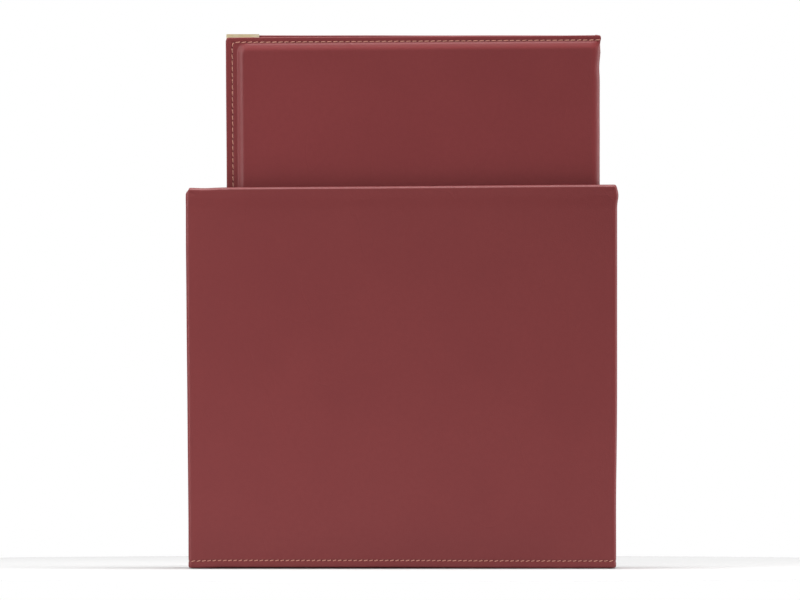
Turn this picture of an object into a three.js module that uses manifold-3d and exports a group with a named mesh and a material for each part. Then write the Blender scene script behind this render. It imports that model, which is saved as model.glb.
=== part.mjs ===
// Coin album: a padded leatherette ring binder, drawn partly out of its matching slipcase.
// Millimetres. +X is towards the album's spine, -Y is the side that the back cover faces, +Z is up.
// The origin is under the middle of the slipcase, on the surface that it stands on.

import * as THREE from 'three';
import { mergeVertices } from 'three/addons/utils/BufferGeometryUtils.js';
import Module from 'manifold-3d';

const wasm = await Module();
wasm.setup();

// ---- driving dimensions ----

const GAP = 0.3; // between pieces that touch

const CASE_WIDTH = 286;
const CASE_DEPTH = 62;
const CASE_HEIGHT = 254;
const CASE_CORNER = 1.5; // radius of the case's upright edges

const SKIN = 0.7; // leatherette
const BOARD = 2; // greyboard
const LINING = 0.5;
const WALL = SKIN + GAP + BOARD + GAP + LINING;
const TURN_IN = 14; // how far the leatherette folds over onto an inner face

const ALBUM_LEFT = -116.7; // fore edge of the covers
const ALBUM_RIGHT = 132; // outside of the spine
const ALBUM_BOTTOM = 79.7;
const ALBUM_HEIGHT = 276;
const ALBUM_TOP = ALBUM_BOTTOM + ALBUM_HEIGHT;
const ALBUM_MIDDLE_Z = ALBUM_BOTTOM + ALBUM_HEIGHT / 2;
const ALBUM_MIDDLE_Y = 1.5;

const COVER_HALF = 19.5; // from the album's middle plane to a cover's border face
const COVER_RIGHT = 130.2; // where a cover ends, beside the spine
const COVER_CORNER = 2.5;
const PAD_HEIGHT = 2.5; // how far the padded panel stands out of the border
const PAD_INSET = 7.3;
const PAD_SPINE_INSET = 1;
const PAD_EDGE = 3; // width of the padded panel's rounded edge
const BACK_COVER_TILT = THREE.MathUtils.degToRad(-0.38); // the back cover sags at its fore edge

const CORNER_LEG = 22; // brass corner
const CORNER_END = 3; // width of the brass at the end of each leg
const CORNER_SHEET = 0.5;

const RING_PITCH = 80;
const RING_COUNT = 4;
const RING_RADIUS = 9.5;
const WIRE_RADIUS = 1.4;
const RING_CENTRE_X = 117;

const HOUSING_HALF_WIDTH = 13.5;
const HOUSING_HALF_LENGTH = 128.7;
const HOUSING_TOP_X = 120.5;
const HOUSING_BASE_X = 127.8;
const HOUSING_SHEET = 0.8;
const HOUSING_LIP = 3;
const HOUSING_SHOULDER = 3;
const LEG_HOLE_RADIUS = 2.4;
const LEG_HOLE_SHIFT = 0.6; // the ring legs swing outwards, so their holes sit further out

const BLADE_HALF_LENGTH = 127.7;
const BLADE_THICKNESS = 1.2;
const BLADE_X = 125.6; // middle of the blades' thickness, and their pivot line
const BLADE_OUTER = 12.4; // outer edge, from the middle plane
const BLADE_INNER = 0.2; // inner edge, from the middle plane

const LEVER_X = 127; // pivot of each lever
const LEVER_Z = 132.5; // pivot, from the album's middle height
const LEVER_SHEET = 1.2;
const LEVER_REACH = 15; // length of the tab
const LEVER_TAB_HALF_WIDTH = 6;
const LEVER_FOOT = 7.2; // length of the foot
const LEVER_FOOT_SHEET = 1;
const LEVER_FOOT_HALF_WIDTH = 3;
const LEVER_GRIP_RADIUS = 1;
const LEVER_GRIP_LIFT = 0.2;

const RIVET_Z = 80; // from the album's middle height
const RIVET_RADIUS = 1.5;
const RIVET_CAP_RADIUS = 3.5;
const RIVET_HEAD_RADIUS = 4.5;
const RIVET_HEAD = 0.7;
const RIVET_CAP = 1;
const RIVET_CAP_BEVEL = 0.8;
const RIVET_NOTCH_RADIUS = 2.6; // leaves a rivet clear while the blades turn

const PAGE_COUNT = 6;
const PAGE_THICKNESS = 1.6;
const PAGE_LEFT = -112;
const PAGE_RIGHT = 115;
const PAGE_HALF_HEIGHT = 131;
const PAGE_HOLE_X = 107.6;
const PAGE_HOLE_RADIUS = 3.8;
const PAGE_CORNER = 4;

// ---- materials ----

const finish = (color, roughness, metalness = 0) => () =>
  new THREE.MeshStandardMaterial({ color, roughness, metalness });
const leatherette = finish(0x7d3b3c, 0.5);
const greyboard = finish(0x8d8578, 0.9);
const lining = finish(0x2b1a1b, 0.85);
const foam = finish(0xd9d4c6, 0.95);
const brass = finish(0xc9a557, 0.3, 1);
const steel = finish(0xc8cacc, 0.25, 1);
const vinyl = finish(0xe7e9e8, 0.35);

// ---- geometry helpers ----

// A closed three.js geometry as a manifold solid.
function solid(geometry) {
  const bare = geometry.clone();
  bare.deleteAttribute('normal');
  bare.deleteAttribute('uv');
  const merged = mergeVertices(bare, 1e-4);
  return new wasm.Manifold(new wasm.Mesh({
    numProp: 3,
    vertProperties: new Float32Array(merged.attributes.position.array),
    triVerts: new Uint32Array(merged.index.array),
  }));
}

function geometryOf(manifold) {
  const mesh = manifold.getMesh();
  const geometry = new THREE.BufferGeometry();
  geometry.setAttribute('position', new THREE.BufferAttribute(mesh.vertProperties, 3));
  geometry.setIndex(new THREE.BufferAttribute(mesh.triVerts, 1));
  return geometry;
}

function union(...geometries) {
  const solids = geometries.map(solid);
  return geometryOf(solids.reduce((whole, next) => whole.add(next)));
}

function cut(geometry, ...tools) {
  return geometryOf(tools.map(solid).reduce((left, tool) => left.subtract(tool), solid(geometry)));
}

// A box between two corners.
function box(x0, x1, y0, y1, z0, z1) {
  const geometry = new THREE.BoxGeometry(x1 - x0, y1 - y0, z1 - z0);
  return geometry.translate((x0 + x1) / 2, (y0 + y1) / 2, (z0 + z1) / 2);
}

// A rectangle outline with round corners; radius 0 gives square corners.
function rectangle(u0, u1, v0, v1, radius = 0, Outline = THREE.Shape) {
  const shape = new Outline();
  if (radius === 0) {
    const corners = [[u0, v0], [u1, v0], [u1, v1], [u0, v1]];
    return shape.setFromPoints(corners.map(([u, v]) => new THREE.Vector2(u, v)));
  }
  shape.moveTo(u0 + radius, v0);
  shape.absarc(u1 - radius, v0 + radius, radius, -Math.PI / 2, 0);
  shape.absarc(u1 - radius, v1 - radius, radius, 0, Math.PI / 2);
  shape.absarc(u0 + radius, v1 - radius, radius, Math.PI / 2, Math.PI);
  shape.absarc(u0 + radius, v0 + radius, radius, Math.PI, Math.PI * 1.5);
  return shape;
}

// A shape in X and Y, extruded upwards between two heights.
function column(shape, z0, z1, curveSegments = 4) {
  const options = { depth: z1 - z0, bevelEnabled: false, curveSegments };
  return new THREE.ExtrudeGeometry(shape, options).translate(0, 0, z0);
}

// A shape in X and Z, extruded along Y between two planes given in either order.
function slab(shape, ya, yb, curveSegments = 4) {
  const options = { depth: Math.abs(yb - ya), bevelEnabled: false, curveSegments };
  return new THREE.ExtrudeGeometry(shape, options).rotateX(Math.PI / 2).translate(0, Math.max(ya, yb), 0);
}

// A cylinder along X.
function rod(x0, x1, y, z, radius, sides = 16) {
  const geometry = new THREE.CylinderGeometry(radius, radius, x1 - x0, sides);
  return geometry.rotateZ(Math.PI / 2).translate((x0 + x1) / 2, y, z);
}

const album = new THREE.Group();

function part(name, geometry, material, group = album) {
  const mesh = new THREE.Mesh(geometry, material());
  mesh.name = name;
  group.add(mesh);
  return mesh;
}

// ---- slipcase ----

// The case's outline in X and Y, moved in by an inset from its outer faces.
function caseOutline(inset, radius, Outline) {
  const x = CASE_WIDTH / 2 - inset;
  const y = CASE_DEPTH / 2 - inset;
  return rectangle(-x, x, -y, y, radius, Outline);
}

// A four-sided tube between two insets from the case's outer faces.
function caseTube(outer, inner, z0, z1) {
  const shape = caseOutline(outer, outer === 0 ? CASE_CORNER : 0);
  shape.holes.push(caseOutline(inner, 0, THREE.Path));
  return column(shape, z0, z1);
}

function slipcase() {
  const boardOut = SKIN + GAP;
  const liningOut = WALL - LINING;
  const x = CASE_WIDTH / 2 - boardOut; // the boards' outer faces
  const y = CASE_DEPTH / 2 - boardOut;
  const betweenX = x - BOARD - GAP;
  const betweenY = y - BOARD - GAP;

  const upright = (name, x0, x1, y0, y1) =>
    part(name, box(x0, x1, y0, y1, boardOut, CASE_HEIGHT - boardOut), greyboard);
  upright('slipcase_front_board', -x, x, -y, BOARD - y);
  upright('slipcase_back_board', -x, x, y - BOARD, y);
  upright('slipcase_left_board', -x, BOARD - x, -betweenY, betweenY);
  upright('slipcase_right_board', x - BOARD, x, -betweenY, betweenY);
  const base = box(-betweenX, betweenX, -betweenY, betweenY, boardOut, boardOut + BOARD);
  part('slipcase_base_board', base, greyboard);

  const wrap = union(
    caseTube(0, SKIN, boardOut, CASE_HEIGHT),
    caseTube(0, WALL, CASE_HEIGHT - SKIN, CASE_HEIGHT),
    caseTube(liningOut, WALL, CASE_HEIGHT - TURN_IN, CASE_HEIGHT),
  );
  part('slipcase_wrap', wrap, leatherette);
  part('slipcase_base_wrap', column(caseOutline(0, CASE_CORNER), 0, SKIN), leatherette);

  const liningTop = CASE_HEIGHT - TURN_IN - GAP;
  const inside = union(
    caseTube(liningOut, WALL, liningOut, liningTop),
    column(caseOutline(liningOut, 0), liningOut, WALL),
  );
  part('slipcase_lining', inside, lining);
}

// ---- covers ----

// A cover's outline in X and Z, moved in by an inset, with a wider one at the spine if given.
function coverOutline(inset, radius, spineInset = inset) {
  const left = ALBUM_LEFT + inset;
  const right = COVER_RIGHT - spineInset;
  return rectangle(left, right, ALBUM_BOTTOM + inset, ALBUM_TOP - inset, radius);
}

// The padded panel's crowned slab, centred on the border face, with a rounded edge both ways.
function pad(inset, height, faceY) {
  const edge = PAD_EDGE * height / PAD_HEIGHT;
  const shape = coverOutline(PAD_INSET + inset + edge, COVER_CORNER, PAD_SPINE_INSET + inset + edge);
  const core = 0.2;
  const options = {
    depth: core,
    bevelThickness: height - core / 2,
    bevelSize: edge,
    bevelSegments: 4,
    curveSegments: 3,
  };
  return new THREE.ExtrudeGeometry(shape, options).rotateX(Math.PI / 2).translate(0, faceY + core / 2, 0);
}

// One cover. side is -1 towards -Y for the back cover, and +1 for the front cover.
function cover(name, side, group) {
  const at = (depth) => ALBUM_MIDDLE_Y + side * (COVER_HALF - depth);
  const boardOut = SKIN + GAP;
  const boardIn = boardOut + BOARD;
  const liningOut = WALL - LINING;

  const board = slab(coverOutline(boardOut, COVER_CORNER - boardOut), at(boardOut), at(boardIn));
  part(`${name}_board`, board, greyboard, group);

  const foamFace = boardOut - GAP;
  const half = slab(coverOutline(0, 0), at(foamFace), at(-2 * PAD_HEIGHT));
  const padding = geometryOf(solid(pad(SKIN + GAP, PAD_HEIGHT - SKIN - GAP, at(0))).intersect(solid(half)));
  part(`${name}_padding`, padding, foam, group);

  const leather = cut(
    union(slab(coverOutline(0, COVER_CORNER), at(0), at(WALL)), pad(0, PAD_HEIGHT, at(0))),
    slab(coverOutline(SKIN, COVER_CORNER - SKIN), at(SKIN), at(liningOut)),
    pad(SKIN, PAD_HEIGHT - SKIN, at(0)),
    slab(coverOutline(TURN_IN, 0), at(BOARD), at(2 * WALL)),
  );
  part(`${name}_leather`, leather, leatherette, group);

  part(`${name}_lining`, slab(coverOutline(TURN_IN + GAP, 0), at(liningOut), at(WALL)), lining, group);
}

// A brass corner folded round a cover's fore-edge corner. up is 1 at the top and -1 at the bottom.
function brassCorner(name, up, group) {
  const at = (depth) => ALBUM_MIDDLE_Y + COVER_HALF - depth;
  const out = GAP + CORNER_SHEET;
  const cornerX = ALBUM_LEFT - out;
  const cornerZ = (up > 0 ? ALBUM_TOP : ALBUM_BOTTOM) + up * out;
  const endX = cornerX + CORNER_LEG;
  const endZ = cornerZ - up * CORNER_LEG;
  const quarter = up * Math.PI / 2;
  const face = new THREE.Shape();
  face.moveTo(cornerX, cornerZ);
  face.lineTo(endX, cornerZ);
  face.absarc(endX, endZ, CORNER_LEG - CORNER_END, quarter, 2 * quarter, up < 0);
  face.lineTo(cornerX, endZ);
  const block = slab(face, at(-out), at(WALL + out));
  const room = slab(coverOutline(-GAP, COVER_CORNER + GAP), at(-GAP), at(WALL + GAP));
  part(name, cut(block, room), brass, group);
}

function covers() {
  const backCover = new THREE.Group();
  const turn = new THREE.Group();
  backCover.position.set(COVER_RIGHT, 0, ALBUM_MIDDLE_Z);
  backCover.rotation.y = BACK_COVER_TILT;
  turn.position.set(-COVER_RIGHT, 0, -ALBUM_MIDDLE_Z);
  backCover.add(turn);
  album.add(backCover);
  cover('back_cover', -1, turn);

  const frontCover = new THREE.Group();
  album.add(frontCover);
  cover('front_cover', 1, frontCover);
  brassCorner('brass_corner_upper', 1, frontCover);
  brassCorner('brass_corner_lower', -1, frontCover);
}

// ---- spine ----

// The spine stands between the two covers, whose leather hinges run along its long edges.
function spine() {
  const faceX = ALBUM_RIGHT;
  const innerX = faceX - WALL;
  const halfY = COVER_HALF - WALL - GAP;
  const edge = SKIN + GAP;
  const block = (x0, x1, inset, endInset = inset) => box(x0, x1,
    ALBUM_MIDDLE_Y - halfY + inset, ALBUM_MIDDLE_Y + halfY - inset,
    ALBUM_BOTTOM + endInset, ALBUM_TOP - endInset);

  const boardX = faceX - edge;
  const hole = (x0, x1, z, radius) => rod(x0, x1, ALBUM_MIDDLE_Y, ALBUM_MIDDLE_Z + z, radius + GAP);
  const rivetHoles = [-RIVET_Z, RIVET_Z].flatMap((z) => [
    hole(innerX - 1, faceX - SKIN - GAP / 2, z, RIVET_RADIUS),
    hole(boardX - RIVET_HEAD - GAP, boardX + GAP / 2, z, RIVET_HEAD_RADIUS),
  ]);
  part('spine_board', cut(block(boardX - BOARD, boardX, edge), ...rivetHoles), greyboard);

  const liningX = innerX + LINING;
  const leather = cut(
    block(innerX, faceX, 0),
    block(liningX, faceX - SKIN, SKIN),
    block(innerX - 1, liningX + GAP, SKIN, TURN_IN - GAP),
  );
  part('spine_leather', leather, leatherette);
  part('spine_lining', cut(block(innerX, liningX, edge, TURN_IN), ...rivetHoles), lining);
}

// ---- ring mechanism ----

const ringHeights = Array.from({ length: RING_COUNT }, (_, n) =>
  ALBUM_MIDDLE_Z + (n - (RING_COUNT - 1) / 2) * RING_PITCH);

// The housing's section in X and Y: an arched steel channel with a lip along each foot.
function housingSection() {
  const w = HOUSING_HALF_WIDTH;
  const r = HOUSING_SHOULDER;
  const t = HOUSING_SHEET;
  const base = HOUSING_BASE_X;
  const shape = new THREE.Shape();
  const line = (x, y) => shape.lineTo(x, ALBUM_MIDDLE_Y + y);
  const bend = (y, radius, from, to, clockwise) =>
    shape.absarc(HOUSING_TOP_X + r, ALBUM_MIDDLE_Y + y, radius, from, to, clockwise);
  shape.moveTo(base, ALBUM_MIDDLE_Y - w);
  line(base, HOUSING_LIP - w);
  line(base - t, HOUSING_LIP - w);
  line(base - t, t - w);
  bend(r - w, r - t, -Math.PI / 2, -Math.PI, true);
  bend(w - r, r - t, Math.PI, Math.PI / 2, true);
  line(base - t, w - t);
  line(base - t, w - HOUSING_LIP);
  line(base, w - HOUSING_LIP);
  line(base, w);
  bend(w - r, r, Math.PI / 2, Math.PI, false);
  bend(r - w, r, Math.PI, Math.PI * 1.5, false);
  return shape;
}

function housing() {
  const z0 = ALBUM_MIDDLE_Z - HOUSING_HALF_LENGTH;
  const z1 = ALBUM_MIDDLE_Z + HOUSING_HALF_LENGTH;
  const legY = RING_RADIUS + LEG_HOLE_SHIFT;
  const legHoles = ringHeights.flatMap((z) => [-1, 1].map((side) =>
    rod(HOUSING_TOP_X - 1, BLADE_X, ALBUM_MIDDLE_Y + side * legY, z, LEG_HOLE_RADIUS)));
  const rivetHoles = [-RIVET_Z, RIVET_Z].map((z) =>
    rod(HOUSING_TOP_X - 1, BLADE_X, ALBUM_MIDDLE_Y, ALBUM_MIDDLE_Z + z, RIVET_RADIUS + GAP));
  part('ring_housing', cut(column(housingSection(), z0, z1), ...legHoles, ...rivetHoles), steel);
}

// A rivet along X: a cap over the housing, a shank, and a flat head let into the spine board.
function rivet(name, z) {
  const headOut = ALBUM_RIGHT - SKIN - GAP;
  const capIn = HOUSING_TOP_X - GAP;
  const profile = [
    [0, headOut],
    [RIVET_HEAD_RADIUS, headOut],
    [RIVET_HEAD_RADIUS, headOut - RIVET_HEAD],
    [RIVET_RADIUS, headOut - RIVET_HEAD],
    [RIVET_RADIUS, capIn],
    [RIVET_CAP_RADIUS, capIn],
    [RIVET_CAP_RADIUS - RIVET_CAP_BEVEL, capIn - RIVET_CAP_BEVEL],
    [0, capIn - RIVET_CAP],
  ].map(([radius, x]) => new THREE.Vector2(radius, x));
  const geometry = new THREE.LatheGeometry(profile.reverse(), 16);
  part(name, geometry.rotateZ(-Math.PI / 2).translate(0, ALBUM_MIDDLE_Y, z), steel);
}

function blade(name, side) {
  const edges = [BLADE_INNER, BLADE_OUTER].map((y) => ALBUM_MIDDLE_Y + side * y).sort((a, b) => a - b);
  const x0 = BLADE_X - BLADE_THICKNESS / 2;
  const x1 = BLADE_X + BLADE_THICKNESS / 2;
  const z0 = ALBUM_MIDDLE_Z - BLADE_HALF_LENGTH;
  const z1 = ALBUM_MIDDLE_Z + BLADE_HALF_LENGTH;
  const notches = [-RIVET_Z, RIVET_Z].map((z) =>
    rod(x0 - 1, x1 + 1, ALBUM_MIDDLE_Y, ALBUM_MIDDLE_Z + z, RIVET_NOTCH_RADIUS));
  part(name, cut(box(x0, x1, ...edges, z0, z1), ...notches), steel);
}

// Half a ring: a straight leg off the blade, then a quarter turn to the middle plane.
function ringHalf(name, side, z) {
  const legEnd = BLADE_X - BLADE_THICKNESS / 2 - GAP;
  const reach = Math.PI / 2 - BLADE_INNER / RING_RADIUS;
  const point = (angle) => new THREE.Vector3(
    RING_CENTRE_X - RING_RADIUS * Math.sin(angle),
    ALBUM_MIDDLE_Y + side * RING_RADIUS * Math.cos(angle),
    z,
  );
  const path = new THREE.CurvePath();
  path.add(new THREE.LineCurve3(point(0).setX(legEnd), point(0)));
  const chords = 8;
  for (let n = 0; n < chords; n += 1) {
    path.add(new THREE.LineCurve3(point(reach * n / chords), point(reach * (n + 1) / chords)));
  }
  const wire = new THREE.Shape();
  wire.absarc(0, 0, WIRE_RADIUS, 0, 2 * Math.PI);
  const options = { steps: 12, curveSegments: 4, bevelEnabled: false, extrudePath: path };
  part(name, new THREE.ExtrudeGeometry(wire, options), steel);
}

// A lever at one end of the housing: a foot behind the blades and a tab to press.
function lever(name, up) {
  const sheet = LEVER_SHEET / 2;
  const back = LEVER_X + LEVER_FOOT_SHEET / 2;
  const plate = (x0, halfWidth, low, high) => {
    const heights = [low, high].map((z) => ALBUM_MIDDLE_Z + up * z).sort((a, b) => a - b);
    return box(x0, back, ALBUM_MIDDLE_Y - halfWidth, ALBUM_MIDDLE_Y + halfWidth, ...heights);
  };
  const foot = plate(back - LEVER_FOOT_SHEET, LEVER_FOOT_HALF_WIDTH, LEVER_Z - LEVER_FOOT, LEVER_Z + sheet);
  const tab = plate(LEVER_X - LEVER_REACH, LEVER_TAB_HALF_WIDTH, LEVER_Z - sheet, LEVER_Z + sheet);
  const gripWidth = 2 * LEVER_TAB_HALF_WIDTH;
  const gripZ = ALBUM_MIDDLE_Z + up * (LEVER_Z + LEVER_GRIP_LIFT);
  const grip = new THREE.CylinderGeometry(LEVER_GRIP_RADIUS, LEVER_GRIP_RADIUS, gripWidth, 12);
  grip.translate(LEVER_X - LEVER_REACH, ALBUM_MIDDLE_Y, gripZ);
  part(name, union(foot, tab, grip), steel);
}

function ringMechanism() {
  housing();
  rivet('housing_rivet_upper', ALBUM_MIDDLE_Z + RIVET_Z);
  rivet('housing_rivet_lower', ALBUM_MIDDLE_Z - RIVET_Z);
  for (const [name, side] of [['near', -1], ['far', 1]]) {
    blade(`${name}_blade`, side);
    ringHeights.forEach((z, n) => ringHalf(`${name}_ring_${n + 1}`, side, z));
  }
  lever('upper_lever', 1);
  lever('lower_lever', -1);
}

// ---- pages ----

function pages() {
  const z0 = ALBUM_MIDDLE_Z - PAGE_HALF_HEIGHT;
  const z1 = ALBUM_MIDDLE_Z + PAGE_HALF_HEIGHT;
  const pitch = PAGE_THICKNESS + GAP;
  for (let n = 0; n < PAGE_COUNT; n += 1) {
    const outline = rectangle(PAGE_LEFT, PAGE_RIGHT, z0, z1, PAGE_CORNER);
    for (const z of ringHeights) {
      const hole = new THREE.Path();
      hole.absarc(PAGE_HOLE_X, z, PAGE_HOLE_RADIUS, 0, 2 * Math.PI);
      outline.holes.push(hole);
    }
    const y = ALBUM_MIDDLE_Y + (n - (PAGE_COUNT - 1) / 2) * pitch;
    part(`coin_page_${n + 1}`, slab(outline, y - PAGE_THICKNESS / 2, y + PAGE_THICKNESS / 2, 8), vinyl);
  }
}

slipcase();
spine();
ringMechanism();
pages();
covers();

export default album;
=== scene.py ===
"""The looks of a padded leatherette coin album, drawn partly out of its slipcase."""

import math
import random

import bpy
import numpy as np
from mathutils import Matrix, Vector, noise


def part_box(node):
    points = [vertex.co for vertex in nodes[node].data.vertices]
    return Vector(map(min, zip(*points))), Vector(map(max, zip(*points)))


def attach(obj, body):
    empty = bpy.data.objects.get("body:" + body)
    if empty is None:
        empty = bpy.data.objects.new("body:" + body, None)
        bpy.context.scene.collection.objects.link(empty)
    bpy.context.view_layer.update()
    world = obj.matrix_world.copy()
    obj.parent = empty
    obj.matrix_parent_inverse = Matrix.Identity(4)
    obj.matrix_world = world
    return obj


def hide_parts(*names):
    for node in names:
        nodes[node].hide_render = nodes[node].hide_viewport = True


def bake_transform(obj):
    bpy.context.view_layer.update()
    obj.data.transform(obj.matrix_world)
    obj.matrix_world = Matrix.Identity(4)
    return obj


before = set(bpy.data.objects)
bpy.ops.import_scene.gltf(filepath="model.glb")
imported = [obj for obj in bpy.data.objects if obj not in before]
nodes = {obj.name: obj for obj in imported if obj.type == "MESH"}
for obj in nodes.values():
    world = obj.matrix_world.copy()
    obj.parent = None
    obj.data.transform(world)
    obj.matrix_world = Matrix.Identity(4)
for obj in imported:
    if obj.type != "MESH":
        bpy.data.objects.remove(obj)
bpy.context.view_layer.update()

# ---- sizes, in metres ----

MM = 0.001
SKIN = 0.7 * MM  # thickness of the leatherette
WRAP = SKIN + 0.3 * MM  # leatherette and glue over a board
THREAD = 0.27 * MM  # radius of the sewing thread
EDGE_STITCH = 3.2 * MM  # from a cover's top or foot to its row of stitches
SIDE_STITCH = 4.3 * MM  # from its fore edge
COVER_PITCH = 4.07 * MM  # length of a stitch and its gap
CASE_STITCH = 4.7 * MM  # from the slipcase's underside to its row of stitches
CASE_PITCH = 3.47 * MM
PAD_SIDE_INSET = 7.3 * MM  # flat border at the fore edge
PAD_END_INSET = 3.3 * MM  # flat border at the top and bottom
PAD_EDGE = 4.6 * MM  # width of the padded panel's rounded edge, at the fore edge
PAD_END_EDGE = 6 * MM  # and at the top and the foot
PAD_CROWN = 0.5 * MM  # how far the panel's middle stands above its edge
SPINE_ROLL = 6.2 * MM  # width of the soft roll along a cover's spine side
SPINE_FLARE = 1.2 * MM  # how far a cover's flat ends reach out past the roll
SPINE_RECESS = 0.9 * MM  # of the spine's edges, behind the covers' rolls
BACK_COVER_TILT = math.radians(-0.38)  # it sags at its fore edge
RIM_RADIUS = 1.1 * MM  # of the slipcase's mouth
MOUTH_TAPER = 13 * MM  # depth of the turned-in leatherette, inside the slipcase's mouth
TURN_IN = 14 * MM  # and inside the covers
COVER_CORNER = 3 * MM  # radius of a cover's outline at its corners
COVER_BEND = 0.6 * MM  # radius of a cover's wrapped edges
MOUTH_SLOPE = 2.1 * MM  # how much higher the mouth is at the right than at the left
MOUTH_DROP = 0.45 * MM  # how far it lies below the design's at the left
MOUTH_DIP = 0.4 * MM  # depth of the dip beside its left corner
FACE_FULLNESS = 0.5 * MM  # how far the broad faces stand out in the middle
LIP_BELOW_MOUTH = 7.2 * MM  # from the mouth down to the full lip on the right wall
BASE_CLEARANCE = 0.4 * MM  # how far the base is off the ground, away from its corners
HEM_GROOVE = 0.28 * MM  # depth of the groove that the base's stitches pull
EDGE_GROOVE = 0.25 * MM  # and of the one on the covers
GROOVE_WIDTH = 0.5 * MM
STITCH_SIDES = 8  # of a stitch's tube and of a needle hole
STITCH_STEPS = 9  # rings of points along a stitch
EDGE_STEPS = (0, 0.5, 1.1, 1.8, 2.7, 3.9, 5.4, 7.4)  # of a grid, in mm from its edge
BORDER_LOOPS = (  # round a cover, in mm from its edge, closest where the stitches run
    12, 11.2, 10.5, 9.9, 9.3, 8.7, 8.2, 7.7, 7.2, 6.7, 6.2, 5.8, 5.4, 5.0,
    4.7, 4.4, 4.1, 3.8, 3.5, 3.3, 3.1, 2.9, 2.6, 2.2, 1.8, 1.3, 0.95)

AMBIENT = 0.2  # strength of the studio's even light
FLOOR_RADIUS = 0.5
FLOOR_Z = -0.5 * MM  # just under the slipcase
SENSOR_WIDTH = 36  # mm
CAMERA_DISTANCE = 12.0  # from the slipcase's front
CAMERA_RISE = 0.03  # above the point that it aims at
VIEW_WIDTH = 0.5333  # what the picture spans at the slipcase's front
AIM_X = -1.3 * MM
AIM_HEIGHT = 178.7 * MM


# ---- shader helpers ----

def material(name):
    """A new material and small functions to add and join its nodes."""
    made = bpy.data.materials.new(name)
    made.use_nodes = True
    tree = made.node_tree
    shader = tree.nodes["Principled BSDF"]

    def add(kind, **values):
        node = tree.nodes.new(kind)
        for key, value in values.items():
            if hasattr(node, key):
                setattr(node, key, value)
            else:
                node.inputs[key.replace("_", " ")].default_value = value
        return node

    def join(source, target):
        tree.links.new(source, target)

    return made, shader, add, join


def mix_colours(add, join, factor, first, second):
    mix = add("ShaderNodeMix", data_type="RGBA")
    join(factor, mix.inputs["Factor"])
    for socket, colour in (("A", first), ("B", second)):
        target = [s for s in mix.inputs if s.name == socket and s.type == "RGBA"][0]
        if isinstance(colour, (tuple, list)):
            target.default_value = (*colour, 1)
        else:
            join(colour, target)
    return [s for s in mix.outputs if s.type == "RGBA"][0]


def ramp(add, join, source, low, high, out_low=0.0, out_high=1.0):
    node = add("ShaderNodeMapRange", interpolation_type="SMOOTHSTEP")
    node.inputs["From Min"].default_value = low
    node.inputs["From Max"].default_value = high
    node.inputs["To Min"].default_value = out_low
    node.inputs["To Max"].default_value = out_high
    join(source, node.inputs["Value"])
    return node.outputs["Result"]


def place(add, join, scale=(1, 1, 1)):
    """Object coordinates in millimetres; a scale below 1 draws a texture out along that axis."""
    coordinates = add("ShaderNodeTexCoord")
    mapping = add("ShaderNodeMapping")
    mapping.inputs["Scale"].default_value = [s / MM for s in scale]
    join(coordinates.outputs["Object"], mapping.inputs["Vector"])
    return mapping.outputs["Vector"]


def clouds(add, join, where, size, detail=2.0, roughness=0.5):
    """Noise with features about size millimetres across."""
    node = add("ShaderNodeTexNoise")
    node.inputs["Scale"].default_value = 1 / size
    node.inputs["Detail"].default_value = detail
    node.inputs["Roughness"].default_value = roughness
    join(where, node.inputs["Vector"])
    return node.outputs["Fac"]


def bumps(add, join, shader, *layers):
    """Stacks bump layers, each (height socket, distance in mm, strength)."""
    before = None
    for height, distance, strength in layers:
        node = add("ShaderNodeBump")
        node.inputs["Strength"].default_value = strength
        node.inputs["Distance"].default_value = distance * MM
        join(height, node.inputs["Height"])
        if before is not None:
            join(before, node.inputs["Normal"])
        before = node.outputs["Normal"]
    join(before, shader.inputs["Normal"])


# ---- materials ----

def leatherette(name, base, deep, worn):
    made, shader, add, join = material(name)
    where = place(add, join)
    pebbles = add("ShaderNodeTexVoronoi", feature="SMOOTH_F1")
    pebbles.inputs["Scale"].default_value = 1 / 0.8
    pebbles.inputs["Smoothness"].default_value = 0.7
    drift = add("ShaderNodeTexNoise")
    drift.inputs["Scale"].default_value = 0.5
    join(where, drift.inputs["Vector"])
    warped = add("ShaderNodeVectorMath", operation="ADD")
    join(where, warped.inputs[0])
    join(drift.outputs["Color"], warped.inputs[1])
    join(warped.outputs["Vector"], pebbles.inputs["Vector"])
    pores = clouds(add, join, where, 0.3, 3)
    mottle = clouds(add, join, where, 3.5, 4, 0.6)
    patches = clouds(add, join, where, 60, 2)

    # fine creases, where a broad noise crosses its middle value
    broad = clouds(add, join, place(add, join, (1, 1, 0.6)), 26, 1)
    from_middle = add("ShaderNodeMath", operation="SUBTRACT")
    join(broad, from_middle.inputs[0])
    from_middle.inputs[1].default_value = 0.5
    distance = add("ShaderNodeMath", operation="ABSOLUTE")
    join(from_middle.outputs[0], distance.inputs[0])
    crease = ramp(add, join, distance.outputs[0], 0.002, 0.014, 1, 0)
    sparse = add("ShaderNodeMath", operation="MULTIPLY")
    join(crease, sparse.inputs[0])
    join(ramp(add, join, clouds(add, join, where, 45, 2), 0.52, 0.66), sparse.inputs[1])

    tone = mix_colours(add, join, ramp(add, join, mottle, 0.3, 0.75, 0, 0.35), base, deep)
    tone = mix_colours(add, join, ramp(add, join, patches, 0.35, 0.75, 0, 0.5), tone, deep)
    tone = mix_colours(add, join, ramp(add, join, pores, 0.55, 0.75, 0, 0.25), tone, deep)
    edge = add("ShaderNodeNewGeometry").outputs["Pointiness"]
    tone = mix_colours(add, join, ramp(add, join, edge, 0.52, 0.62, 0, 0.25), tone, worn)
    join(tone, shader.inputs["Base Color"])
    join(ramp(add, join, mottle, 0.3, 0.75, 0.4, 0.48), shader.inputs["Roughness"])
    shader.inputs["Specular IOR Level"].default_value = 0.32
    bumps(add, join, shader, (sparse.outputs[0], 0.12, 0.3),
          (pebbles.outputs["Distance"], 0.1, 0.32), (pores, 0.05, 0.3))
    return made


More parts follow.
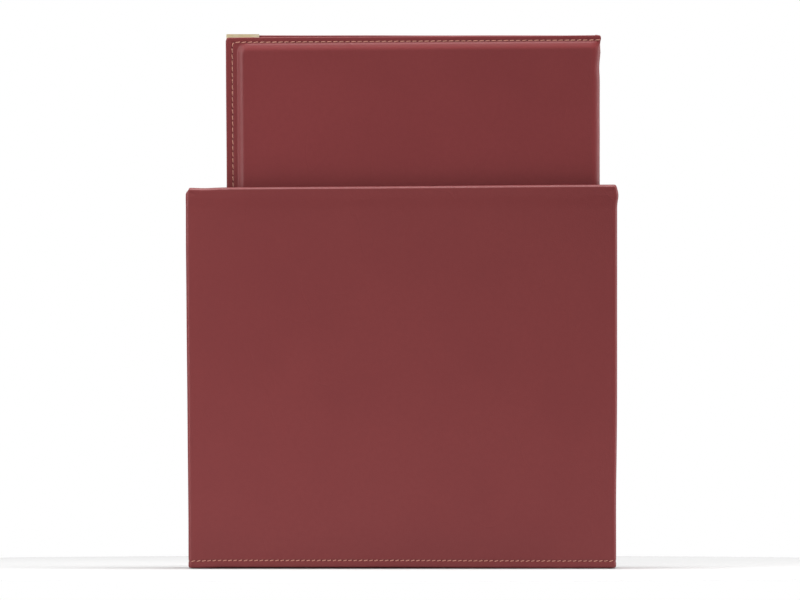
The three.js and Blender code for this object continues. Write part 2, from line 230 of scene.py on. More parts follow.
def thread():
    made, shader, add, join = material("tan_thread")
    where = place(add, join)
    twist = add("ShaderNodeTexWave", bands_direction="DIAGONAL")
    twist.inputs["Scale"].default_value = 0.9
    twist.inputs["Distortion"].default_value = 1.0
    join(where, twist.inputs["Vector"])
    fuzz = clouds(add, join, where, 0.6, 3)
    tone = mix_colours(add, join, twist.outputs["Fac"], (0.6, 0.27, 0.19), (0.4, 0.155, 0.11))
    tone = mix_colours(add, join, ramp(add, join, fuzz, 0.4, 0.8, 0, 0.4), tone, (0.66, 0.36, 0.26))
    join(tone, shader.inputs["Base Color"])
    join(ramp(add, join, fuzz, 0.3, 0.7, 0.55, 0.75), shader.inputs["Roughness"])
    shader.inputs["Sheen Weight"].default_value = 0.3
    bumps(add, join, shader, (twist.outputs["Fac"], 0.08, 0.6), (fuzz, 0.03, 0.4))
    return made


def painted_hole_shade():
    # painted shade: a near-black look for the shade inside a needle hole, put on a small plug in the
    # leather
    made, shader, add, join = material("painted_hole_shade")
    shade = clouds(add, join, place(add, join), 0.5, 2)
    tone = mix_colours(add, join, shade, (0.05, 0.01, 0.01), (0.09, 0.018, 0.018))
    join(tone, shader.inputs["Base Color"])
    shader.inputs["Roughness"].default_value = 0.9
    return made


def metal(name, colour, deep, rough_low, rough_high, brushed=(1, 1, 1)):
    made, shader, add, join = material(name)
    streaks = clouds(add, join, place(add, join, brushed), 0.8, 4, 0.6)
    smudges = clouds(add, join, place(add, join), 7, 3)
    tone = mix_colours(add, join, ramp(add, join, smudges, 0.35, 0.75), colour, deep)
    join(tone, shader.inputs["Base Color"])
    join(ramp(add, join, smudges, 0.3, 0.75, rough_low, rough_high), shader.inputs["Roughness"])
    shader.inputs["Metallic"].default_value = 1
    bumps(add, join, shader, (streaks, 0.01, 0.25), (smudges, 0.1, 0.05))
    return made


def lining_paper():
    made, shader, add, join = material("lining_paper")
    where = place(add, join)
    weave = add("ShaderNodeTexWave", bands_direction="Z")
    weave.inputs["Scale"].default_value = 0.32
    weave.inputs["Distortion"].default_value = 9
    weave.inputs["Detail"].default_value = 3
    weave.inputs["Detail Scale"].default_value = 0.3
    join(place(add, join, (0.25, 1, 1)), weave.inputs["Vector"])
    fibres = clouds(add, join, where, 0.5, 4, 0.65)
    tone = mix_colours(add, join, weave.outputs["Fac"], (0.075, 0.014, 0.016), (0.12, 0.026, 0.028))
    tone = mix_colours(add, join, ramp(add, join, fibres, 0.4, 0.75, 0, 0.3), tone, (0.16, 0.045, 0.045))
    join(tone, shader.inputs["Base Color"])
    join(ramp(add, join, weave.outputs["Fac"], 0, 1, 0.5, 0.75), shader.inputs["Roughness"])
    bumps(add, join, shader, (weave.outputs["Fac"], 0.05, 0.3), (fibres, 0.05, 0.5))
    return made


def greyboard():
    made, shader, add, join = material("greyboard")
    layers = clouds(add, join, place(add, join, (0.2, 3, 0.2)), 0.8, 4, 0.6)
    specks = clouds(add, join, place(add, join), 1.2, 4, 0.7)
    tone = mix_colours(add, join, layers, (0.2, 0.17, 0.13), (0.33, 0.29, 0.23))
    tone = mix_colours(add, join, ramp(add, join, specks, 0.6, 0.7, 0, 0.5), tone, (0.1, 0.08, 0.06))
    join(tone, shader.inputs["Base Color"])
    shader.inputs["Roughness"].default_value = 0.9
    bumps(add, join, shader, (layers, 0.1, 0.5), (specks, 0.05, 0.4))
    return made


def page_vinyl():
    made, shader, add, join = material("page_vinyl")
    cloud = clouds(add, join, place(add, join), 14, 3)
    scuffs = clouds(add, join, place(add, join, (0.15, 1, 1)), 1.2, 4, 0.7)
    dull = ramp(add, join, cloud, 0.35, 0.7)
    tone = mix_colours(add, join, dull, (0.38, 0.39, 0.39), (0.28, 0.295, 0.3))
    tone = mix_colours(add, join, ramp(add, join, scuffs, 0.62, 0.75, 0, 0.35), tone, (0.5, 0.5, 0.5))
    join(tone, shader.inputs["Base Color"])
    join(ramp(add, join, scuffs, 0.4, 0.75, 0.18, 0.38), shader.inputs["Roughness"])
    shader.inputs["Subsurface Weight"].default_value = 0.1
    bumps(add, join, shader, (cloud, 0.3, 0.2), (scuffs, 0.02, 0.3))
    return made


WORN = (0.26, 0.07, 0.07)
CASE_LEATHER = leatherette("case_leatherette", (0.185, 0.03, 0.031), (0.165, 0.025, 0.027), WORN)
COVER_LEATHER = leatherette("cover_leatherette", (0.19, 0.028, 0.03), (0.168, 0.023, 0.025), WORN)
THREAD_LOOK = thread()
# painted shade of the needle holes
HOLE_SHADE_LOOK = painted_hole_shade()
BRASS = metal("brass", (0.97, 0.86, 0.6), (0.88, 0.72, 0.44), 0.3, 0.42, (1, 1, 0.15))
NICKEL = metal("nickel_plate", (0.75, 0.75, 0.76), (0.62, 0.62, 0.63), 0.14, 0.28, (1, 1, 0.1))
LINING = lining_paper()
GREYBOARD = greyboard()
VINYL = page_vinyl()


# ---- mesh helpers ----

def smooth(t):
    t = np.clip(t, 0, 1)
    return t * t * (3 - 2 * t)


def spaced(low, high, step):
    """Positions from low to high, finer near both ends."""
    fine = [f * MM for f in EDGE_STEPS]
    start, end = low + fine[-1], high - fine[-1]
    count = max(2, round((end - start) / step))
    middle = list(np.linspace(start, end, count + 1))
    return np.array([low + f for f in fine[:-1]] + middle + [high - f for f in fine[-2::-1]])


def ring_of(us, vs, grow, radius):
    """Points round a grown, round-cornered rectangle, one for each edge point of a grid."""
    low = np.array([us[0] - grow, vs[0] - grow])
    high = np.array([us[-1] + grow, vs[-1] + grow])
    u = low[0] + (us - us[0]) * (high[0] - low[0]) / (us[-1] - us[0])
    v = low[1] + (vs - vs[0]) * (high[1] - low[1]) / (vs[-1] - vs[0])
    points = [(x, low[1]) for x in u[:-1]] + [(high[0], y) for y in v[:-1]]
    points += [(x, high[1]) for x in u[:0:-1]] + [(low[0], y) for y in v[:0:-1]]
    points = np.array(points)
    centre = np.clip(points, low + radius, high - radius)
    off = points - centre
    corner = (np.abs(off[:, 0]) > 0) & (np.abs(off[:, 1]) > 0)
    far = np.abs(off).max(1)
    near = np.abs(off).min(1)
    angle = np.pi / 4 * near / np.maximum(far, 1e-12)
    along_u = np.abs(off[:, 0]) >= np.abs(off[:, 1])
    x = np.where(along_u, np.cos(angle), np.sin(angle)) * np.sign(off[:, 0])
    y = np.where(along_u, np.sin(angle), np.cos(angle)) * np.sign(off[:, 1])
    points[corner] = (centre + radius * np.stack([x, y], 1))[corner]
    return points


def shell(us, vs, loops):
    """The surface of a wrapped board, in (u, v, out): a flat grid at out = 0 with loops round it.
    Each loop is (how far it reaches past the grid, its corner radius, out)."""
    uu, vv = np.meshgrid(us, vs, indexing="ij")
    top = np.stack([uu.ravel(), vv.ravel(), np.zeros(uu.size)], 1)
    index = np.arange(len(us) * len(vs)).reshape(len(us), len(vs))
    faces = np.stack([index[:-1, :-1], index[1:, :-1], index[1:, 1:], index[:-1, 1:]], -1).reshape(-1, 4)
    edge = np.concatenate([index[:-1, 0], index[-1, :-1], index[:0:-1, -1], index[0, :0:-1]])
    points, all_faces, start = [top], [faces], len(top)
    before = edge
    for grow, radius, out in loops:
        flat = ring_of(us, vs, grow, radius)
        points.append(np.column_stack([flat, np.full(len(flat), out)]))
        here = start + np.arange(len(flat))
        after, after_before = np.roll(here, -1), np.roll(before, -1)
        all_faces.append(np.stack([before, here, after, after_before], -1))
        before, start = here, start + len(flat)
    return np.concatenate(points), np.concatenate(all_faces)


def wander(points, size, seed):
    """Smooth noise from -1 to 1 at each point, with features about size metres across."""
    shift = Vector((seed * 3.7, seed * 1.9, seed * 5.3))
    return np.array([noise.noise(Vector(p) / size + shift) for p in points])


def piece(name, points, faces, look, body, flip=False):
    """A smooth-shaded mesh object with one look or a list of them. It rides on a body if one is given."""
    mesh = bpy.data.meshes.new(name)
    rows = [tuple(int(i) for i in (f[::-1] if flip else f)) for f in faces]
    mesh.from_pydata([tuple(p) for p in points], [], rows)
    mesh.update()
    mesh.polygons.foreach_set("use_smooth", [True] * len(mesh.polygons))
    for each in look if isinstance(look, (list, tuple)) else [look]:
        mesh.materials.append(each)
    made = bpy.data.objects.new(name, mesh)
    bpy.context.scene.collection.objects.link(made)
    if body:
        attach(made, body)
    return made


# ---- stitches ----

def thread_stitch(at, middle, half, lean, rise, outwards, start):
    """One stitch, a bent tube whose ends dive into the leather: its vertices and its faces,
    numbered from start. at(s) gives a point of the row and the direction there."""
    vertices, faces = [], []
    for k in range(STITCH_STEPS):
        t = -1 + 2 * k / (STITCH_STEPS - 1)
        thick = THREAD * (1 - 0.55 * t ** 4)
        centre, along = at(middle + half * t)
        across = outwards.cross(along)
        centre = centre + across * lean * half * t
        centre = centre + outwards * (rise * (1 - 1.7 * t ** 4) - THREAD * 0.4)
        for j in range(STITCH_SIDES):
            a = 2 * math.pi * j / STITCH_SIDES
            wide = across * thick * math.cos(a) * 1.15
            vertices.append(centre + wide + outwards * thick * math.sin(a))
    for k in range(STITCH_STEPS - 1):
        here = start + k * STITCH_SIDES
        for j in range(STITCH_SIDES):
            a, b = here + j, here + (j + 1) % STITCH_SIDES
            faces.append((a, b, b + STITCH_SIDES, a + STITCH_SIDES))
    last = start + (STITCH_STEPS - 1) * STITCH_SIDES
    faces.append(tuple(range(start, start + STITCH_SIDES))[::-1])
    faces.append(tuple(range(last, last + STITCH_SIDES)))
    return vertices, faces


def shaded_hole_plug(centre, along, outwards, start):
    """The plug of a needle hole, painted near-black as the shade inside the hole: its vertices and its
    faces, numbered from start.
    """
    vertices, faces = [], []
    across = outwards.cross(along)
    for j in range(STITCH_SIDES):
        a = 2 * math.pi * j / STITCH_SIDES
        rim = centre + along * 0.26 * MM * math.cos(a) + across * 0.24 * MM * math.sin(a)
        vertices.append(rim + outwards * 0.06 * MM)
        vertices.append(rim - outwards * 0.3 * MM)
    for j in range(STITCH_SIDES):
        a, b = start + 2 * j, start + 2 * ((j + 1) % STITCH_SIDES)
        faces.append((a, b, b + 1, a + 1)[::-1])
    faces.append(tuple(start + 2 * j for j in range(STITCH_SIDES)))
    faces.append(tuple(start + 2 * j + 1 for j in range(STITCH_SIDES))[::-1])
    return vertices, faces


def stitch_row(points, outwards, pitch, rng, length_share, slant):
    """Stitches along a polyline of points, on a surface that faces outwards.
    Returns the vertices, the faces and each face's material number: 0 for thread, 1 for the painted shade
    of a hole."""
    points = [Vector(p) for p in points]
    outwards = Vector(outwards)
    lengths = [(b - a).length for a, b in zip(points, points[1:])]
    total = sum(lengths)
    count = round(total / pitch)
    pitch = total / count

    def at(s):
        """The point at distance s along the row, and the row's direction there."""
        for a, b, length in zip(points, points[1:], lengths):
            if s <= length or b is points[-1]:
                return a.lerp(b, s / length), (b - a).normalized()
            s -= length

    vertices, faces, looks = [], [], []

    def include(more_vertices, more_faces, look):
        vertices.extend(more_vertices)
        faces.extend(more_faces)
        looks.extend([look] * len(more_faces))

    for n in range(count):
        lean = slant + rng.uniform(-0.05, 0.05)
        half = pitch * length_share / 2 * rng.uniform(0.94, 1.04)
        rise = THREAD * rng.uniform(0.55, 0.85)
        middle = (n + 0.5) * pitch
        include(*thread_stitch(at, middle, half, lean, rise, outwards, len(vertices)), 0)
        hole, along = at((n + 1) * pitch if n + 1 < count else total)
        # a plug painted with the shade of the needle hole
        include(*shaded_hole_plug(hole, along, outwards, len(vertices)), 1)
    return vertices, faces, looks


def stitches(name, rows, body):
    """One piece holding several rows of stitches."""
    vertices, faces, looks = [], [], []
    for row_vertices, row_faces, row_looks in rows:
        start = len(vertices)
        vertices += row_vertices
        faces += [tuple(i + start for i in f) for f in row_faces]
        looks += row_looks
    made = piece(name, vertices, faces, [THREAD_LOOK, HOLE_SHADE_LOOK], None)
    made.data.polygons.foreach_set("material_index", looks)
    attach(made, body)
    return made


# ---- slipcase ----

case_low, case_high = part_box("slipcase_wrap")
case_low.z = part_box("slipcase_base_wrap")[0].z
case_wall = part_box("slipcase_lining")[0].x - case_low.x + 0.5 * MM


def slipcase_shape(points):
    """Moves the wrapped case's ideal surface to a hand-covered one."""
    x, y, z = points.T
    top = case_high.z
    across = (x - case_low.x) / (case_high.x - case_low.x)  # 0 at the left end and 1 at the right
    up = z / top
    out_x = (x / case_high.x) ** 5
    out_y = smooth((np.abs(y) - (case_high.y - case_wall - 2 * MM)) / (2 * MM)) * np.sign(y)
    near_mouth = smooth((z - (top - 16 * MM)) / (10 * MM))
    wall_only = smooth((z - 4 * MM) / (20 * MM))
    slow = wander(points, 85 * MM, 1)
    ripple = wander(points * [1, 1, 0.6], 26 * MM, 2)
    mouth_corner = np.exp(-((np.abs(x) - case_high.x) / (60 * MM)) ** 2 - ((z - top) / (45 * MM)) ** 2)
    pucker = wander(points * [1, 1, 2.2], 9 * MM, 3) * mouth_corner
    belly = 1 - (x / case_high.x) ** 2
    moved = points.copy()

    # faces: nearly flat, a little full in the middle, puckered near the mouth's corners
    face = 0.25 * MM * slow + 0.07 * MM * ripple + 0.1 * MM * pucker + FACE_FULLNESS * belly
    moved[:, 1] += out_y * (face * wall_only + 0.4 * MM * near_mouth)

    # ends: narrower towards the base, with a full lip under the mouth on the right
    left_narrowing = 0.65 - 1.75 * np.clip((up - 0.12) / 0.72, 0, 1)
    right_narrowing = 0.15 - 0.65 * smooth((up - 0.15) / 0.3)
    lip = np.exp(-((top - LIP_BELOW_MOUTH - z) / (3.8 * MM)) ** 2) * np.where(x < 0, 0.1, 0.85)
    narrowing = np.where(x < 0, left_narrowing, right_narrowing)
    moved[:, 0] += out_x * (lip - narrowing + 0.08 * ripple * wall_only) * MM

    # mouth: slopes up to the right and dips beside the left corner
    mouth = smooth((z - top + 30 * MM) / (30 * MM))
    dip = np.exp(-((x - case_low.x - 12.5 * MM) / (7 * MM)) ** 2) * smooth((z - top + 8 * MM) / (7 * MM))
    moved[:, 2] += (MOUTH_SLOPE * across - MOUTH_DROP + 0.15 * MM * slow) * mouth - MOUTH_DIP * dip

    # mouth corners: rounded off, with the fold of the mitred leatherette
    from_side = (case_high.x - np.abs(x)) / (3.2 * MM)
    from_top = (top - z) / (5 * MM)
    both = np.clip(1 - from_side, 0, 1) ** 2 * np.clip(1 - from_top, 0, 1) ** 2
    moved[:, 0] -= np.where(x < 0, -2.2, 0.8) * MM * both
    moved[:, 2] -= np.where(x < 0, 1.5, 0.2) * MM * both
    fold_line = (case_high.x - np.abs(x)) * 0.55 - (top - z) + 1.6 * MM
    fold_reach = np.exp(-(((case_high.x - np.abs(x)) - 3.2 * MM) / (2.6 * MM)) ** 2)
    fold = np.exp(-(fold_line / (0.5 * MM)) ** 2) * fold_reach
    moved[:, 1] -= out_y * 0.4 * MM * fold

    # base: the case stands on its corners, where the folded leatherette is thick
    off_left = smooth((x - case_low.x - 4 * MM) / (20 * MM))
    off_right = 1 - smooth((across - 0.45) / 0.4)
    moved[:, 2] += BASE_CLEARANCE * off_left * off_right * (1 - smooth(z / (25 * MM)))
    return moved


def slipcase():
    round_off = 2.2 * MM
    us = spaced(case_low.x + round_off, case_high.x - round_off, 3 * MM)
    vs = spaced(case_low.y + round_off, case_high.y - round_off, 3 * MM)
    bend = 1.6 * MM
    loops = []
    for a in np.linspace(0, math.pi / 2, 6)[1:]:
        loops.append((round_off - bend + bend * math.sin(a), round_off, bend - bend * math.cos(a)))
    top = case_high.z - RIM_RADIUS
    groove = [CASE_STITCH + d * MM for d in (-1.4, -0.9, -0.5, -0.2, 0, 0.2, 0.5, 0.9, 1.4)]
    wall = [*np.arange(8 * MM, top - 16 * MM, 3 * MM), *np.arange(top - 15 * MM, top, 0.6 * MM)]
    for z in [2.4 * MM, *groove, *wall]:
        pinch = HEM_GROOVE * math.exp(-((z - CASE_STITCH) / GROOVE_WIDTH) ** 2)
        loops.append((round_off - pinch, round_off, z))
    half = case_wall / 2
    for a in np.linspace(0, math.pi, 11):
        grow = round_off - half + half * math.cos(a)
        loops.append((grow, round_off * (1 - 0.7 * a / math.pi), top + RIM_RADIUS * math.sin(a)))
    inner = round_off - case_wall
    for depth in (1.5 * MM, 4 * MM, 7 * MM, 10 * MM, MOUTH_TAPER - 0.4 * MM):
        loops.append((inner, 0.6 * MM, top - depth))
    loops.append((inner + 0.15 * MM, 0.6 * MM, top - MOUTH_TAPER))
    loops.append((inner + 0.5 * MM, 0.6 * MM, top - MOUTH_TAPER - 0.1 * MM))
    points, faces = shell(us, vs, loops)
    points = slipcase_shape(points)
    made = piece("slipcase_cover", points, faces, CASE_LEATHER, "slipcase", flip=True)
    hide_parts("slipcase_wrap", "slipcase_base_wrap")


def slipcase_stitches():
    rng = random.Random(5)
    rows = []
    z = case_low.z + CASE_STITCH
    for side in (-1, 1):
        y = (case_high.y if side > 0 else case_low.y) - side * 0.18 * MM
        inset = 1.6 * MM
        xs = np.linspace(case_low.x + inset, case_high.x - inset, 200)
        line = slipcase_shape(np.array([[x, y, z] for x in xs]))
        rows.append(stitch_row(line, (0, side, 0), CASE_PITCH, rng, 0.8, -0.24 * side))
    stitches("slipcase_stitches", rows, "slipcase")


# ---- covers ----

def cover_loops(inset, thickness):
    """Loops round a cover's grid, which ends inset short of its edges: over the border, round the
    edge and in under the turned-in leather."""
    loops = [(inset - d * MM, max(COVER_CORNER - d * MM, 0.4 * MM), 0.0) for d in BORDER_LOOPS]
    middle = inset - COVER_BEND  # where the rounded edge starts
    for a in np.linspace(0, math.pi / 2, 6)[1:]:
        loops.append((middle + COVER_BEND * math.sin(a), COVER_CORNER, COVER_BEND * (math.cos(a) - 1)))
    loops.append((inset, COVER_CORNER, -thickness / 2))
    for a in np.linspace(0, math.pi / 2, 6):
        out = COVER_BEND * (1 - math.sin(a)) - thickness
        loops.append((middle + COVER_BEND * math.cos(a), COVER_CORNER, out))
    loops += [(inset - d * MM, 0.6 * MM, -thickness) for d in (2.5, 5, 8, 11, 13.3)]
    loops.append((inset - TURN_IN, 0.6 * MM, 0.12 * MM - thickness))
    loops.append((inset - TURN_IN - 0.1 * MM, 0.6 * MM, 0.6 * MM - thickness))
    return loops


def three_sides(left, right, bottom, top):
    """Points (x, z) along the top, round the fore edge's corners and back along the foot."""
    turn = 2.6 * MM
    clear = left + turn + 1 * MM
    quarter = np.linspace(0, math.pi / 2, 9)
    path = [(x, top) for x in np.linspace(right, clear, 80)]
    path += [(left + turn - turn * math.sin(a), top - turn + turn * math.cos(a)) for a in quarter]
    path += [(left, z) for z in np.linspace(top - turn - 1 * MM, bottom + turn + 1 * MM, 90)]
    path += [(left + turn - turn * math.cos(a), bottom + turn - turn * math.sin(a)) for a in quarter]
    return path + [(x, bottom) for x in np.linspace(clear, right, 80)]


def cover_panel(name, side, body, tilt, fore_inset, end_inset, panel_corner, ear_height):
    """A padded cover's leather: one surface over the panel, the border, the edges and the turn-in.
    The insets draw its edges in from the design's, tilt turns it about its spine side, and
    ear_height is how far the folded leather stands up at its fore-edge corners."""
    board_low, board_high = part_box("front_cover_board")
    leather_low, leather_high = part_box("front_cover_leather")
    middle_y = (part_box("coin_page_1")[0].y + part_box("coin_page_6")[1].y) / 2
    low_x, high_x = leather_low.x + fore_inset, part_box("spine_leather")[1].x
    low_z, high_z = leather_low.z + end_inset, leather_high.z - end_inset
    middle_x, middle_z = (low_x + high_x) / 2, (low_z + high_z) / 2
    thickness = board_high.y - board_low.y + 2 * WRAP - 0.2 * MM
    pad_height = leather_high.y - board_high.y - WRAP
    border_out = board_high.y + WRAP - middle_y
    inset = 13 * MM
    spine_inset = SPINE_ROLL + 0.4 * MM

    us = spaced(low_x + inset, high_x - spine_inset, 3 * MM)
    vs = spaced(low_z + inset, high_z - inset, 3 * MM)

    def from_ends(z):
        return np.minimum(z - low_z, high_z - z)

    def pad_rise(x, z):
        """0 on the border and 1 on the panel, with round panel corners at the fore edge."""
        cx = np.maximum(panel_corner - (x - low_x - PAD_SIDE_INSET), 0)
        cz = np.maximum(panel_corner - (from_ends(z) - PAD_END_INSET) * PAD_EDGE / PAD_END_EDGE, 0)
        t = np.clip((panel_corner - np.hypot(cx, cz)) / PAD_EDGE, 0, 1)
        return 0.7 * smooth(t) + 0.3 * np.sqrt(1 - (1 - t) ** 2) * smooth(3 * t)

    def surface(points):
        """Heights and edge waves, from the ideal wrapped slab."""
        x, z, out = points.T
        rise = pad_rise(x, z)
        where = np.column_stack([x, np.full(len(x), side * 10.0), z])
        slow = wander(where, 75 * MM, 4)
        ripple = wander(where, 22 * MM, 6)
        front = smooth((out + thickness * 0.6) / (thickness * 0.6))
        crown = (1 - ((x - middle_x) / (125 * MM)) ** 2) * (1 - ((z - middle_z) / (140 * MM)) ** 2)
        height = rise * (pad_height + PAD_CROWN * np.clip(crown, 0, 1) + 0.15 * MM * slow)
        height += 0.05 * MM * ripple
        to_edge = np.minimum(x - low_x - SIDE_STITCH + EDGE_STITCH, from_ends(z))
        groove = EDGE_GROOVE * np.exp(-((to_edge - EDGE_STITCH) / GROOVE_WIDTH) ** 2)
        height -= groove * (x < high_x - 1.5 * MM)
        into_roll = np.clip((x - high_x + SPINE_ROLL) / SPINE_ROLL, 0, 1)
        roll = 0.62 * into_roll ** 2.2 + 0.38 * (1 - np.sqrt(1 - 0.97 * into_roll ** 2))
        height -= rise * (pad_height + 0.4 * MM) * roll
        moved = points.copy()
        moved[:, 2] = out + front * height
        near_end = smooth(1 - from_ends(z) / (7.5 * MM))
        below_end = from_ends(z) - 11 * MM
        bulge = 0.5 * MM * np.exp(-(below_end / (4 * MM)) ** 2)
        hollow = 0.35 * MM * np.exp(-((below_end - 11 * MM) / (5 * MM)) ** 2)
        at_spine = smooth((x - (high_x - 9 * MM)) / (8 * MM))
        wrinkle = 0.12 * MM * wander(where, 30 * MM, 8)
        moved[:, 0] += at_spine * (SPINE_FLARE * near_end + bulge - hollow + wrinkle)
        moved[:, 0] += 0.15 * MM * wander(where, 60 * MM, 8) * smooth((low_x + 4 * MM - x) / (4 * MM))
        moved[:, 1] += 0.2 * MM * wander(where, 70 * MM, 9) * smooth(1 - from_ends(z) / (4 * MM))
        ear = np.exp(-((x - low_x - 0.6 * MM) / (1.3 * MM)) ** 2) * smooth(1 - from_ends(z) / (5 * MM))
        moved[:, 1] += ear_height * ear * np.sign(z - middle_z)
        return moved

    points, faces = shell(us, vs, cover_loops(inset, thickness))
    # the grid ends closer to the spine side than to the others, so the loops there are drawn in
    over = points[:, 0] - us[-1]
    points[:, 0] = np.where(over > 0, us[-1] + over * spine_inset / inset, points[:, 0])
    points = surface(points)

    def tilted(where):
        """Lets the cover drop towards its fore edge, while its spine side stays upright."""
        x, z = where[:, 0] - high_x, where[:, 2] - middle_z
        away = x / (low_x - high_x)
        return np.column_stack([
            where[:, 0] + away * z * math.sin(tilt), where[:, 1], where[:, 2] - x * math.sin(tilt)])

    y = middle_y + side * (border_out + points[:, 2])
    world = tilted(np.column_stack([points[:, 0], y, points[:, 1]]))
    made = piece(f"{name}_cover_panel", world, faces, COVER_LEATHER, body, flip=side > 0)
    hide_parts(f"{name}_cover_leather", f"{name}_cover_padding")

    def on_surface(x, z):
        top = surface(np.array([[x, z, 0.0]]))[0]
        return [top[0], middle_y + side * (border_out + top[2] + 0.12 * MM), top[1]]

    path = three_sides(
        low_x + SIDE_STITCH, high_x - 0.3 * MM, low_z + EDGE_STITCH, high_z - EDGE_STITCH)
    line = tilted(np.array([on_surface(x, z) for x, z in path]))
    rng = random.Random(12 + side)
    row = stitch_row(line, (0, side, 0), COVER_PITCH, rng, 0.82, -0.1 * side)
    stitches(f"{name}_cover_stitches", [row], body)


# ---- spine ----

def spine():
    low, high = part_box("spine_leather")
    us = spaced(low.y + 2 * MM, high.y - 2 * MM, 2.5 * MM)
    vs = spaced(low.z + 2 * MM, high.z - 2 * MM, 3 * MM)
    depth = high.x - low.x
    bend = 1.4 * MM
    loops = []
    for a in np.linspace(0, math.pi / 2, 6):
        loops.append((2 * MM - bend + bend * math.sin(a), 1.2 * MM, bend * math.cos(a) - bend))
    loops.append((2 * MM, 1.2 * MM, 0.8 * MM - depth))
    loops.append((1.6 * MM, 1.2 * MM, 0.2 * MM - depth))
    loops.append((1.0 * MM, 0.8 * MM, -depth))
    points, faces = shell(us, vs, loops)
    y, z, out = points.T
    where = np.column_stack([np.full(len(y), high.x), y, z])
    front = smooth((out + 2 * MM) / (2 * MM))
    crown = 1 - ((y - (low.y + high.y) / 2) / ((high.y - low.y) / 2)) ** 2
    rise = 0.5 * MM * np.clip(crown, 0, 1) + 0.15 * MM * wander(where, 60 * MM, 14)
    out = out + front * (rise - SPINE_RECESS)
    world = np.column_stack([high.x + out, y, z])
    made = piece("spine_cover", world, faces, COVER_LEATHER, "album")
    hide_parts("spine_leather")


def hinge_strip(name, side):
    """The thin leather valley between the spine and a cover."""
    low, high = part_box("spine_leather")
    edge_y = high.y if side > 0 else low.y
    zs = np.arange(low.z + 1.5 * MM, high.z - 1.5 * MM, 3 * MM)
    section = []
    for n in range(13):
        t = n / 12
        valley = math.sin(math.pi * t)
        section.append((high.x - 1.1 * MM - 0.9 * MM * valley, edge_y + side * (-1.1 + 2.6 * t) * MM))
    inner = [(x - 0.5 * MM, y) for x, y in section[::-1]]
    loop = section + inner
    points = [(x, y, z) for z in zs for x, y in loop]
    count = len(loop)
    faces = []
    for k in range(len(zs) - 1):
        for j in range(count):
            a, b = k * count + j, k * count + (j + 1) % count
            faces.append((a, b, b + count, a + count))
    last = (len(zs) - 1) * count
    faces.append(tuple(range(count))[::-1])
    faces.append(tuple(range(last, last + count)))
    made = piece(name, points, faces, COVER_LEATHER, None, flip=side < 0)
    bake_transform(made)


# ---- CAD nodes that keep their shape ----

def finish_node(name, look, bevel=0.0, segments=2):
    node = nodes[name]
    node.data.materials.clear()
    node.data.materials.append(look)
    if bevel:
        rounding = node.modifiers.new("rounding", "BEVEL")
        rounding.width = bevel
        rounding.segments = segments
        rounding.limit_method = "ANGLE"
        rounding.angle_limit = math.radians(40)
        rounding.harden_normals = False
    node.data.polygons.foreach_set("use_smooth", [True] * len(node.data.polygons))
    split = node.modifiers.new("edges", "EDGE_SPLIT")
    split.split_angle = math.radians(40)


def carried_over():
    for name in nodes:
        if name.endswith("_board"):
            finish_node(name, GREYBOARD, 0.15 * MM, 1)
        elif name.endswith("_lining"):
            finish_node(name, LINING)
        elif name.startswith("brass_corner"):
            finish_node(name, BRASS, 0.3 * MM, 3)
        elif name.startswith("coin_page"):
            finish_node(name, VINYL, 0.25 * MM, 2)
        elif "ring" in name or "blade" in name or "lever" in name or "rivet" in name:
            finish_node(name, NICKEL)


# ---- stage ----

def stage():
    floor_mesh = bpy.data.meshes.new("floor")
    count = 96
    turns = [2 * math.pi * n / count for n in range(count)]
    ring = [(FLOOR_RADIUS * math.cos(a), FLOOR_RADIUS * math.sin(a), FLOOR_Z) for a in turns]
    floor_mesh.from_pydata(ring, [], [tuple(range(count))])
    floor = bpy.data.objects.new("floor", floor_mesh)
    bpy.context.scene.collection.objects.link(floor)
    look, shader, add, join = material("pale_floor")
    tint = clouds(add, join, place(add, join), 400, 2)
    join(mix_colours(add, join, tint, (0.6, 0.6, 0.6), (0.58, 0.58, 0.58)), shader.inputs["Base Color"])
    shader.inputs["Roughness"].default_value = 0.9
    floor_mesh.materials.append(look)


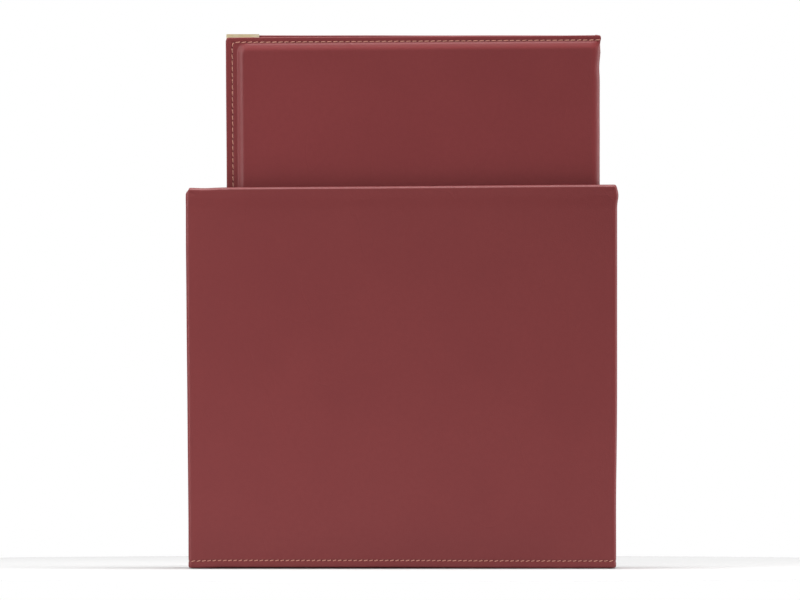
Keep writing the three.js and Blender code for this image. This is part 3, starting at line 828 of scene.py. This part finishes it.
def surroundings():
    """A white backdrop to look at, in a dimmer studio."""
    world = bpy.data.worlds.new("studio")
    world.use_nodes = True
    nodes_of_world = world.node_tree.nodes
    join = world.node_tree.links.new
    studio = nodes_of_world["Background"]
    studio.inputs["Color"].default_value = (1, 1, 1, 1)
    studio.inputs["Strength"].default_value = AMBIENT
    backdrop = nodes_of_world.new("ShaderNodeBackground")
    backdrop.inputs["Color"].default_value = (1, 1, 1, 1)
    choice = nodes_of_world.new("ShaderNodeMixShader")
    join(nodes_of_world.new("ShaderNodeLightPath").outputs["Is Camera Ray"], choice.inputs["Fac"])
    join(studio.outputs["Background"], choice.inputs[1])
    join(backdrop.outputs["Background"], choice.inputs[2])
    join(choice.outputs["Shader"], nodes_of_world["World Output"].inputs["Surface"])
    bpy.context.scene.world = world


def light(name, place_at, target, size, power):
    lamp = bpy.data.lights.new(name, "AREA")
    lamp.shape = "RECTANGLE"
    lamp.size, lamp.size_y = size
    lamp.energy = power
    made = bpy.data.objects.new(name, lamp)
    made.location = place_at
    made.rotation_euler = (Vector(target) - Vector(place_at)).to_track_quat("-Z", "Y").to_euler()
    bpy.context.scene.collection.objects.link(made)


def lights():
    centre = (0, 0, 0.2)
    light("key", (-1.15, -1.2, 1.35), centre, (0.8, 0.8), 9.5)
    light("top", (0, 0.0, 1.8), centre, (1.2, 0.7), 38)
    light("left", (-0.8, -0.5, 0.35), centre, (0.4, 0.9), 5.5)
    light("right", (1.0, -0.13, 0.4), centre, (0.35, 1.0), 10)
    light("front", (0, -3.0, 0.9), centre, (2.4, 1.2), 7)


def camera():
    lens_data = bpy.data.cameras.new("camera")
    lens_data.sensor_width = SENSOR_WIDTH
    lens_data.lens = SENSOR_WIDTH * CAMERA_DISTANCE / VIEW_WIDTH
    lens_data.clip_end = 100
    made = bpy.data.objects.new("camera", lens_data)
    aim = Vector((AIM_X, case_low.y, AIM_HEIGHT))
    made.location = aim + Vector((0, -CAMERA_DISTANCE, CAMERA_RISE))
    made.rotation_euler = (aim - made.location).to_track_quat("-Z", "Y").to_euler()
    bpy.context.scene.collection.objects.link(made)
    bpy.context.scene.camera = made


stage()
surroundings()
lights()
camera()
slipcase()
slipcase_stitches()
cover_panel("back", -1, "back_cover", tilt=BACK_COVER_TILT, fore_inset=0.0,
            end_inset=0.3 * MM, panel_corner=6 * MM, ear_height=0.5 * MM)
cover_panel("front", 1, "front_cover", tilt=0.0, fore_inset=-0.4 * MM,
            end_inset=0.0, panel_corner=15 * MM, ear_height=0.0)
spine()
hinge_strip("back_hinge_leather", -1)
hinge_strip("front_hinge_leather", 1)
carried_over()

bpy.context.scene.view_settings.view_transform = "Standard"
